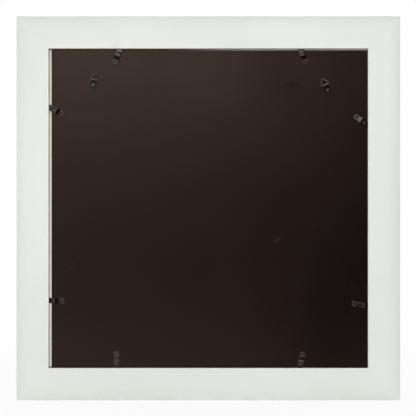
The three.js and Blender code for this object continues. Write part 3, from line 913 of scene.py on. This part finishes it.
def tab_height(along, across, step):
    """Height of a tab's underside, with soft bends and two ribs pressed up across the body."""
    height = TAB_RIB_HEIGHT * tab_ribs(along, across)
    for sample in range(TAB_BEND_SAMPLES + 1):
        shift = TAB_BEND_SOFTNESS * (2 * sample / TAB_BEND_SAMPLES - 1)
        height += tab_line(along + shift, step) / (TAB_BEND_SAMPLES + 1)
    return height


def tab_outline(step):
    """Points round a tab, seen from above: neck, shoulders, body, waist and round head."""
    waist_angle = math.pi - math.asin(TAB_WAIST_WIDTH / 2 / TAB_HEAD_RADIUS)
    waist_end = TAB_HEAD.x + TAB_HEAD_RADIUS * math.cos(waist_angle)
    rows = round((waist_end + TAB_ROOT_DEPTH) / TAB_ROW)
    edge = []
    for row in range(rows):
        along = -TAB_ROOT_DEPTH + (waist_end + TAB_ROOT_DEPTH) * row / rows
        edge.append(Vector((along, tab_half_width(along, step))))
    side_a = [Vector((point.x, -point.y)) for point in edge]
    nose = arc(TAB_HEAD, TAB_HEAD_RADIUS, -waist_angle, waist_angle, TAB_HEAD_STEPS)
    return side_a + nose + edge[::-1]


def tab_hole():
    """Points round the hole in a tab's head, in the other sense to its outline."""
    return arc(TAB_HEAD, TAB_HOLE_RADIUS, 0, -2 * math.pi, TAB_HOLE_STEPS)[:-1]


def drawn_in(loop, inset):
    """A loop moved inwards, towards its left."""
    moved = []
    for index, point in enumerate(loop):
        run = (loop[(index + 1) % len(loop)] - loop[index - 1]).normalized()
        moved.append(point + inset * Vector((-run.y, run.x)))
    return moved


def tab_inside(step):
    """Points spread over a tab, clear of its outline and its hole."""
    columns = int(TAB_WIDTH / 2 / TAB_COLUMN)
    points = []
    for row in range(1, int((TAB_REACH + TAB_ROOT_DEPTH) / TAB_ROW)):
        along = -TAB_ROOT_DEPTH + row * TAB_ROW
        half = tab_half_width(along, step) - TAB_EDGE_CLEARANCE
        for column in range(-columns, columns + 1):
            point = Vector((along, column * TAB_COLUMN))
            reach = (point - TAB_HEAD).length
            in_head = reach < TAB_HEAD_RADIUS - TAB_EDGE_CLEARANCE
            in_strip = along < TAB_HEAD.x and abs(point.y) < half
            if (in_head or in_strip) and reach > TAB_HOLE_RADIUS + TAB_EDGE_CLEARANCE:
                points.append(point)
    return points


def tab_rub_and_highlight(along, across):
    """Share of bare rubbing and painted highlight at a point: along the body's ribs and in a ring round
    the hole.
    """
    reach = math.hypot(along - TAB_HEAD.x, across)
    ring_end = TAB_HEAD_RADIUS - RUB_AND_HIGHLIGHT_MARGIN
    ring = ease(reach, TAB_HOLE_RADIUS, TAB_HOLE_RADIUS + RUB_AND_HIGHLIGHT_EASE)
    ring *= 1 - ease(reach, ring_end, ring_end + RUB_AND_HIGHLIGHT_EASE)
    return max(ring, tab_ribs(along, across))


def tab_mesh(step, share):
    """One whole tab strip with rounded rims, in its own frame, worn and given painted highlights to
    some share.
    """
    loops = [tab_outline(step), tab_hole()]
    rims = [drawn_in(loop, TAB_RIM) for loop in loops]
    edges = []
    offset = 0
    for loop in rims:
        edges += [(offset + index, offset + (index + 1) % len(loop)) for index in range(len(loop))]
        offset += len(loop)
    inside_only = 1
    spread = rims[0] + rims[1] + tab_inside(step)
    points, _, faces, sources, _, _ = delaunay_2d_cdt(spread, edges, [], inside_only, WELD)
    place_of = {source: index for index, group in enumerate(sources) for source in group}

    build = bmesh.new()
    rub_and_highlight = build.verts.layers.float.new(RUB_AND_HIGHLIGHT)

    def corner(point, lift):
        vertex = build.verts.new((point.x, tab_height(*point, step) + lift, point.y))
        # Bare steel from rubbing and a painted highlight, on the ribs and round the hole
        vertex[rub_and_highlight] = share * tab_rub_and_highlight(*point)
        return vertex

    under = [corner(point, 0) for point in points]
    over = [corner(point, TAB_THICKNESS) for point in points]
    for face in faces:
        middle = sum((points[index] for index in face), Vector((0, 0))) / len(face)
        if (middle - TAB_HEAD).length < TAB_HOLE_RADIUS:
            continue
        build.faces.new([under[index] for index in face])
        build.faces.new([over[index] for index in reversed(face)])

    slope = TAB_RIM * (1 - math.sqrt(0.5))
    rounding = ((slope, slope), (0, TAB_RIM))
    offset = 0
    for loop, rim in zip(loops, rims):
        rim_points = [place_of[offset + index] for index in range(len(rim))]
        offset += len(rim)
        rings = [[under[index] for index in rim_points]]
        for inset, lift in rounding:
            rings.append([corner(point, lift) for point in drawn_in(loop, inset)])
        for inset, lift in reversed(rounding):
            rings.append([corner(point, TAB_THICKNESS - lift) for point in drawn_in(loop, inset)])
        rings.append([over[index] for index in rim_points])
        skin(build, rings)
    return build


def make_tab(name, materials):
    """One bending tab, a single strip from its slot to its head."""
    place, inward, hinge = tab_place(name)
    _, step, share = TABS[name]
    build = tab_mesh(step, share)
    build.transform(place)
    tab = make_piece("bending_tab_" + name, build, materials)
    shade(tab)
    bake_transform(tab)
    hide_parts("tab_root_" + name, "tab_" + name)


def make_board(materials, rivets):
    """The backing board with softened edges, pierced for the rivets."""
    build = block(BOARD_LOW, BOARD_HIGH)
    bmesh.ops.bevel(
        build,
        geom=build.edges[:],
        offset=BOARD_EDGE,
        segments=BOARD_EDGE_STEPS,
        profile=0.5,
        affect="EDGES",
    )
    face_share = 0.9
    core = 1
    for face in build.faces:
        if face.normal.y < face_share:
            face.material_index = core
    board = make_piece("board_sheet", build, materials)
    front = -BOARD_THICKNESS - CUT_PAST
    cutters = []
    for place in rivets:
        cutters.append(rod_cutter(BOARD_HOLE_RADIUS, front, CUT_PAST, place, materials))
    cut(board, cutters)
    carry(board, "frame", "backing_fibreboard", "backing_board")


STRAP_TOP = STRAP_LIFT + 2 * STRAP_SHEET
STRAP_LOOP_RADIUS = RING_WIRE_RADIUS + STRAP_LIFT + STRAP_SHEET
BAR_HEIGHT = STRAP_LIFT + STRAP_LOOP_RADIUS


def hanger_place(side):
    """Frame of a hanger: its origin where the rivet meets the board, Z towards the ring."""
    rivet = Vector(JOINTS[f"hanger_{side}_swivel"]["pos_m"])
    towards = Vector(JOINTS[f"ring_{side}_swing"]["pos_m"]) - rivet
    tilt = math.atan2(towards.x, towards.z)
    bar_from_rivet = math.hypot(towards.x, towards.z)
    return Matrix.Translation(rivet) @ turn_about("Y", tilt), bar_from_rivet


def strap_half_width(along, bar):
    """Half the width of a strap: round tail, straight sides, narrower at the loop."""
    half = STRAP_WIDTH / 2
    tail = half - STRAP_TAIL
    if along < tail:
        return max(math.sqrt(max(half**2 - (along - tail) ** 2, 0)), 2 * STRAP_RIM)
    narrow = bar - STRAP_LOOP_RADIUS
    return half + (STRAP_LOOP_WIDTH / 2 - half) * ease(along, narrow - STRAP_TAPER, narrow)


def strap_path(bar):
    """Middle line of the folded strap from the side: under layer, loop round the bar, upper layer."""
    sheet = STRAP_SHEET - STRAP_SEAM
    low = STRAP_LIFT + sheet / 2
    high = STRAP_TOP - sheet / 2
    radius = STRAP_LOOP_RADIUS - sheet / 2
    half = STRAP_WIDTH / 2
    tail = half - STRAP_TAIL
    runs = []
    for step in range(STRAP_END_STEPS):
        runs.append(tail - half * math.cos(math.pi / 2 * step / STRAP_END_STEPS))
    under_end = bar - STRAP_LOOP_RADIUS
    for step in range(STRAP_RUN_STEPS + 1):
        runs.append(tail + (under_end - tail) * step / STRAP_RUN_STEPS)
    points = [Vector((run, low)) for run in runs]
    middle = Vector((bar, BAR_HEIGHT))
    points += arc(middle, radius, -QUARTER_TURN, STRAP_LOOP_END, STRAP_LOOP_STEPS)
    leave = points[-1]
    heading = Vector((-math.sin(STRAP_LOOP_END), math.cos(STRAP_LOOP_END)))
    landing = Vector((leave.x - STRAP_SETTLE, high))
    pull = STRAP_SETTLE / 2
    knots = (leave, leave + heading * pull, landing + Vector((pull, 0)), landing)
    knots_in_space = [Vector((*knot, 0)) for knot in knots]
    descent = interpolate_bezier(*knots_in_space, STRAP_RUN_STEPS)
    points += [point.to_2d() for point in descent[1:]]
    points += [Vector((run, high)) for run in reversed(runs) if run < landing.x - STRAP_RIM]
    return points


def make_strap(side, materials):
    """A strap: a strip of sheet folded in two round the ring's bar, pierced for the rivet."""
    place, bar = hanger_place(side)
    path = strap_path(bar)
    sheet = (STRAP_SHEET - STRAP_SEAM) / 2
    crest = BAR_HEIGHT + STRAP_LOOP_RADIUS
    build = bmesh.new()
    rub_and_highlight = build.verts.layers.float.new(RUB_AND_HIGHLIGHT)
    rings = []
    for index, point in enumerate(path):
        before = path[max(index - 1, 0)]
        after = path[min(index + 1, len(path) - 1)]
        run = (after - before).normalized()
        normal = Vector((-run.y, run.x))
        half = strap_half_width(point.x, bar)
        flat = half - STRAP_RIM
        full = sheet - STRAP_RIM
        section = ((flat, sheet), (half, full), (half, -full), (flat, -sheet))
        section += tuple((-across, lift) for across, lift in reversed(section))
        ring = []
        for across, lift in section:
            spot = point + normal * lift
            vertex = build.verts.new((across, spot.y, spot.x))
            # Painted highlight along the crest of the fold
            vertex[rub_and_highlight] = ease(spot.y, crest - RUB_AND_HIGHLIGHT_EASE, crest)
            ring.append(vertex)
        rings.append(ring)
    skin(build, rings)
    for ring in (rings[0], rings[-1]):
        build.faces.new(ring)
    build.transform(place)
    strap = make_piece("strap_" + side, build, materials)
    hole = rod_cutter(BOARD_HOLE_RADIUS, -CUT_PAST, STRAP_TOP + CUT_PAST, place, materials)
    cut(strap, [hole])
    carry(strap, "hanger_" + side, "black_steel", "hanger_strap_" + side)


def ring_path():
    """Middle line of a ring's wire: a triangle with soft corners, its bar along X, its top along Z."""
    corners = (
        Vector((-RING_BASE / 2, 0, 0)),
        Vector((RING_BASE / 2, 0, 0)),
        Vector((0, 0, RING_HEIGHT)),
    )
    points = []
    for index, corner in enumerate(corners):
        before = (corners[index - 1] - corner).normalized()
        after = (corners[(index + 1) % len(corners)] - corner).normalized()
        enter = corner + before * RING_CORNER
        leave = corner + after * RING_CORNER
        for step in range(RING_CORNER_STEPS + 1):
            share = step / RING_CORNER_STEPS
            points.append(enter.lerp(corner, share).lerp(corner.lerp(leave, share), share))
    return points


def make_ring(side, materials):
    """A triangular wire ring that leans back on its bar until it nearly lies on the board."""
    place, bar = hanger_place(side)
    path = ring_path()
    build = bmesh.new()
    rings = []
    for index, point in enumerate(path):
        run = (path[(index + 1) % len(path)] - path[index - 1]).normalized()
        outward = OUT_OF_BACK.cross(run)
        ring = []
        for step in range(RING_SIDES):
            angle = 2 * math.pi * step / RING_SIDES
            spoke = outward * math.cos(angle) + OUT_OF_BACK * math.sin(angle)
            ring.append(build.verts.new(point + RING_WIRE_RADIUS * spoke))
        rings.append(ring)
    skin(build, rings + rings[:1])
    lean = math.asin((BAR_HEIGHT - RING_WIRE_RADIUS - RING_REST_GAP) / RING_HEIGHT)
    seat = Matrix.Translation((0, BAR_HEIGHT, bar)) @ turn_about("X", lean)
    build.transform(place @ seat)
    ring_piece = make_piece("wire_ring_" + side, build, materials)
    carry(ring_piece, "ring_" + side, "black_steel", "hanger_ring_" + side)


def rivet_profile(top):
    """Half the outline of a rivet, from its tail in front to the top of its domed head."""
    front = RIVET_TAIL_INSET - BOARD_THICKNESS
    back = front + RIVET_TAIL_THICKNESS
    base = STRAP_TOP + RIVET_SEAT
    height = top - base - RIVET_RIM
    dome = (RIVET_HEAD_RADIUS**2 + height**2) / (2 * height)
    sweep = math.asin(RIVET_HEAD_RADIUS / dome)
    points = [
        (0, front),
        (RIVET_TAIL_RADIUS, front),
        (RIVET_TAIL_RADIUS, back),
        (RIVET_SHANK_RADIUS, back),
        (RIVET_SHANK_RADIUS, base),
        (RIVET_HEAD_RADIUS, base),
    ]
    for step in range(RIVET_DOME_STEPS, -1, -1):
        angle = sweep * step / RIVET_DOME_STEPS
        points.append((dome * math.sin(angle), top - dome * (1 - math.cos(angle))))
    return points


def make_rivet(side, materials):
    """A domed rivet that holds a strap to the board and lets it turn."""
    place, _ = hanger_place(side)
    _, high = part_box("hanger_rivet_" + side)
    axis = Vector((0, 0))
    build = bmesh.new()
    rings = []
    for radius, height in rivet_profile(high.y - place.translation.y):
        circle = arc(axis, radius, 0, -2 * math.pi, LATHE_STEPS)[:-1]
        rings.append([build.verts.new((point.x, height, point.y)) for point in circle])
    skin(build, rings)
    build.transform(Matrix.Translation(place.translation))
    rivet = make_piece("rivet_" + side, build, materials)
    carry(rivet, "frame", "black_steel", "hanger_rivet_" + side)


def dress(node, material):
    """Gives a solid that stays in view its finish."""
    mesh = frame["nodes"][node].data
    mesh.materials.clear()
    mesh.materials.append(material)


def make_object():
    """All pieces of the frame."""
    moulding = [white_paint(), raw_fibreboard()]
    steel = [black_steel()]
    lacquer = [strap_black()]
    wire = [dark_wire()]
    for side, degrees in SIDE_TURNS.items():
        turn = turn_about("Y", math.radians(degrees))
        slots = [tab_slot(name, moulding) for name in TABS if name.split("_")[0] == side]
        make_rail(side, turn, moulding, slots)
    for name in TABS:
        make_tab(name, steel)
    sides = ("left", "right")
    make_board([board_face(), board_core()], [hanger_place(side)[0] for side in sides])
    for side in sides:
        make_strap(side, lacquer)
        make_ring(side, wire)
        make_rivet(side, wire)
    dress("glazing", clear_glass())
    dress("window_mat", mat_board())
    nails = nail_steel()
    for node in frame["nodes"]:
        if node.startswith("corner_nail"):
            dress(node, nails)
    for seed, (place, picture) in enumerate(PICTURES.items(), start=1):
        dress("print_" + place, photo_print(place, picture, seed * math.e))


# Studio
WORLD_LIGHT = 0.28
FLOOR_SIZE = 30
FLOOR_SHADOW = 0.06
FLOOR_SHADOW_REACH = 1.6
FLAG_SIZE = 7.5
FLAG_DISTANCE = 3.3
FLAG_FLOOR_START = 0.27
FLAG_FRONT_START = 0.05
FLAG_FLOOR_LIFT = 1 * MM
SOFTBOXES = {
    # name: place, width and height, strength as seen
    "side_left": ((2.3, -1.45, 0.5), (0.8, 0.8), 18.0),
    "side_right": ((-2.3, -1.45, 0.5), (0.8, 0.8), 18.0),
}
# Lamps that only show in gloss: the sheen of the board, and sparkle on small steel parts
GLINTS = {
    "sheen": ((0.17, 2.55, 0.5), (0.8, 0.35), 7.9),
    "sheen_side": ((0.85, 2.5, 0.05), (0.3, 0.4), 9.0),
    "glint_left": ((0.8, 1.5, 0.9), (0.6, 0.6), 6.0),
    "glint_top": ((0.2, 1.5, 1.75), (3.0, 0.5), 6.0),
    "sheen_low": ((0.2, 0.6, -0.22), (0.7, 0.034), 4.2),
}
# Lamps that don't show in gloss, for the even light of a copy stand
FILLS = {
    "fill_back": ((0.14, 2.7, 0.12), (1.2, 0.65), 20.8),
    "fill_front": ((-0.3, -2.7, 0.4), (1.2, 0.9), 2.5),
}


def add_softbox(name, place, size, strength):
    """A lamp that faces the frame, as bright as a white surface times its strength."""
    lamp = bpy.data.lights.new("lamp_" + name, "AREA")
    lamp.shape = "RECTANGLE"
    lamp.size, lamp.size_y = size
    lamp.energy = strength * math.pi * lamp.size * lamp.size_y
    softbox = bpy.data.objects.new("lamp_" + name, lamp)
    softbox.location = place
    softbox.rotation_euler = (-Vector(place)).to_track_quat("-Z", "Y").to_euler()
    softbox.visible_camera = False
    bpy.context.scene.collection.objects.link(softbox)
    return softbox


def add_sheet(name, size, place, material):
    """A large flat sheet of the studio."""
    build = bmesh.new()
    bmesh.ops.create_grid(build, x_segments=1, y_segments=1, size=size / 2)
    build.transform(place)
    sheet = make_piece(name, build, [material])
    return sheet


def seen_rays(tree):
    """1 for rays that show the surroundings: from the camera, off gloss or through glass."""
    path = tree.nodes.new("ShaderNodeLightPath").outputs
    shown = path["Is Camera Ray"]
    for other in ("Is Glossy Ray", "Is Transmission Ray"):
        both = tree.nodes.new("ShaderNodeMath")
        both.operation = "MAXIMUM"
        tree.links.new(shown, both.inputs[0])
        tree.links.new(path[other], both.inputs[1])
        shown = both.outputs["Value"]
    return shown


def floor_finish():
    """White floor that keeps the soft shadow close to the frame and fades to plain white."""
    finish = Finish("studio_floor")
    colour = finish.shades(finish.noise(scale=40, detail=2), tone(203, 203, 203), tone(207, 207, 207))
    white = finish.add("ShaderNodeEmission", {"Strength": 1.0}).outputs["Emission"]
    close = finish.near((0, 0, -HALF_OUTER), FLOOR_SHADOW_REACH)
    plain = finish.math("SUBTRACT", 1.0, finish.times(close, FLOOR_SHADOW))
    finish.cover(finish.times(seen_rays(finish.tree), plain), white)
    return finish.done(colour, roughness=0.95, others={"Specular IOR Level": 0.0})


def flag_finish():
    """Black velvet, for the dark half of what the board and the glass mirror."""
    finish = Finish("studio_flag")
    nap = finish.shades(finish.noise(scale=60), tone(4, 4, 4), tone(9, 9, 9))
    return finish.done(nap, roughness=1.0, others={"Specular IOR Level": 0.0})


def make_world():
    """White surroundings to look at, and a soft even light from them."""
    world = bpy.data.worlds.new("studio")
    world.use_nodes = True
    bpy.context.scene.world = world
    tree = world.node_tree
    background = tree.nodes["Background"]
    white = (1, 1, 1, 1)
    background.inputs["Color"].default_value = white
    strength = tree.nodes.new("ShaderNodeMapRange")
    strength.inputs["To Min"].default_value = WORLD_LIGHT
    strength.inputs["To Max"].default_value = 1.0
    tree.links.new(seen_rays(tree), strength.inputs["Value"])
    tree.links.new(strength.outputs["Result"], background.inputs["Strength"])


def make_studio():
    """The surroundings, the floor, the black flags and the lamps."""
    make_world()
    floor_place = Matrix.Translation((0, 0, -HALF_OUTER))
    add_sheet("floor", FLOOR_SIZE, floor_place, floor_finish())
    upright = turn_about("X", QUARTER_TURN)
    flag_level = FLAG_FLOOR_LIFT - HALF_OUTER
    behind = (0, FLAG_FLOOR_START + FLAG_SIZE / 2, flag_level)
    before = (0, -FLAG_FRONT_START - FLAG_SIZE / 2, flag_level)
    flags = {
        "flag_back": Matrix.Translation((0, FLAG_DISTANCE, 0)) @ upright,
        "flag_front": Matrix.Translation((0, -FLAG_DISTANCE, 0)) @ upright,
        "flag_floor_back": Matrix.Translation(behind),
        "flag_floor_front": Matrix.Translation(before),
    }
    velvet = flag_finish()
    for name, place in flags.items():
        flag = add_sheet(name, FLAG_SIZE, place, velvet)
        flag.visible_camera = False
        flag.visible_diffuse = False
        flag.visible_shadow = False
    for name, lamp in SOFTBOXES.items():
        add_softbox(name, *lamp)
    for name, lamp in GLINTS.items():
        glint = add_softbox(name, *lamp)
        glint.visible_diffuse = False
    for name, lamp in FILLS.items():
        fill = add_softbox(name, *lamp)
        fill.visible_glossy = False
        fill.visible_transmission = False


def make_camera():
    """The camera, square to the back, and plain colours for its picture."""
    camera = bpy.data.cameras.new("camera")
    camera.lens = CAMERA_LENS_MM
    camera.sensor_width = CAMERA_SENSOR_MM
    viewer = bpy.data.objects.new("camera", camera)
    viewer.location = (CAMERA_SHIFT_X, CAMERA_DISTANCE, CAMERA_SHIFT_Z)
    viewer.rotation_euler = (QUARTER_TURN, 0, 2 * QUARTER_TURN)
    bpy.context.scene.collection.objects.link(viewer)
    bpy.context.scene.camera = viewer
    bpy.context.scene.view_settings.view_transform = "Standard"


make_camera()
make_object()
make_studio()
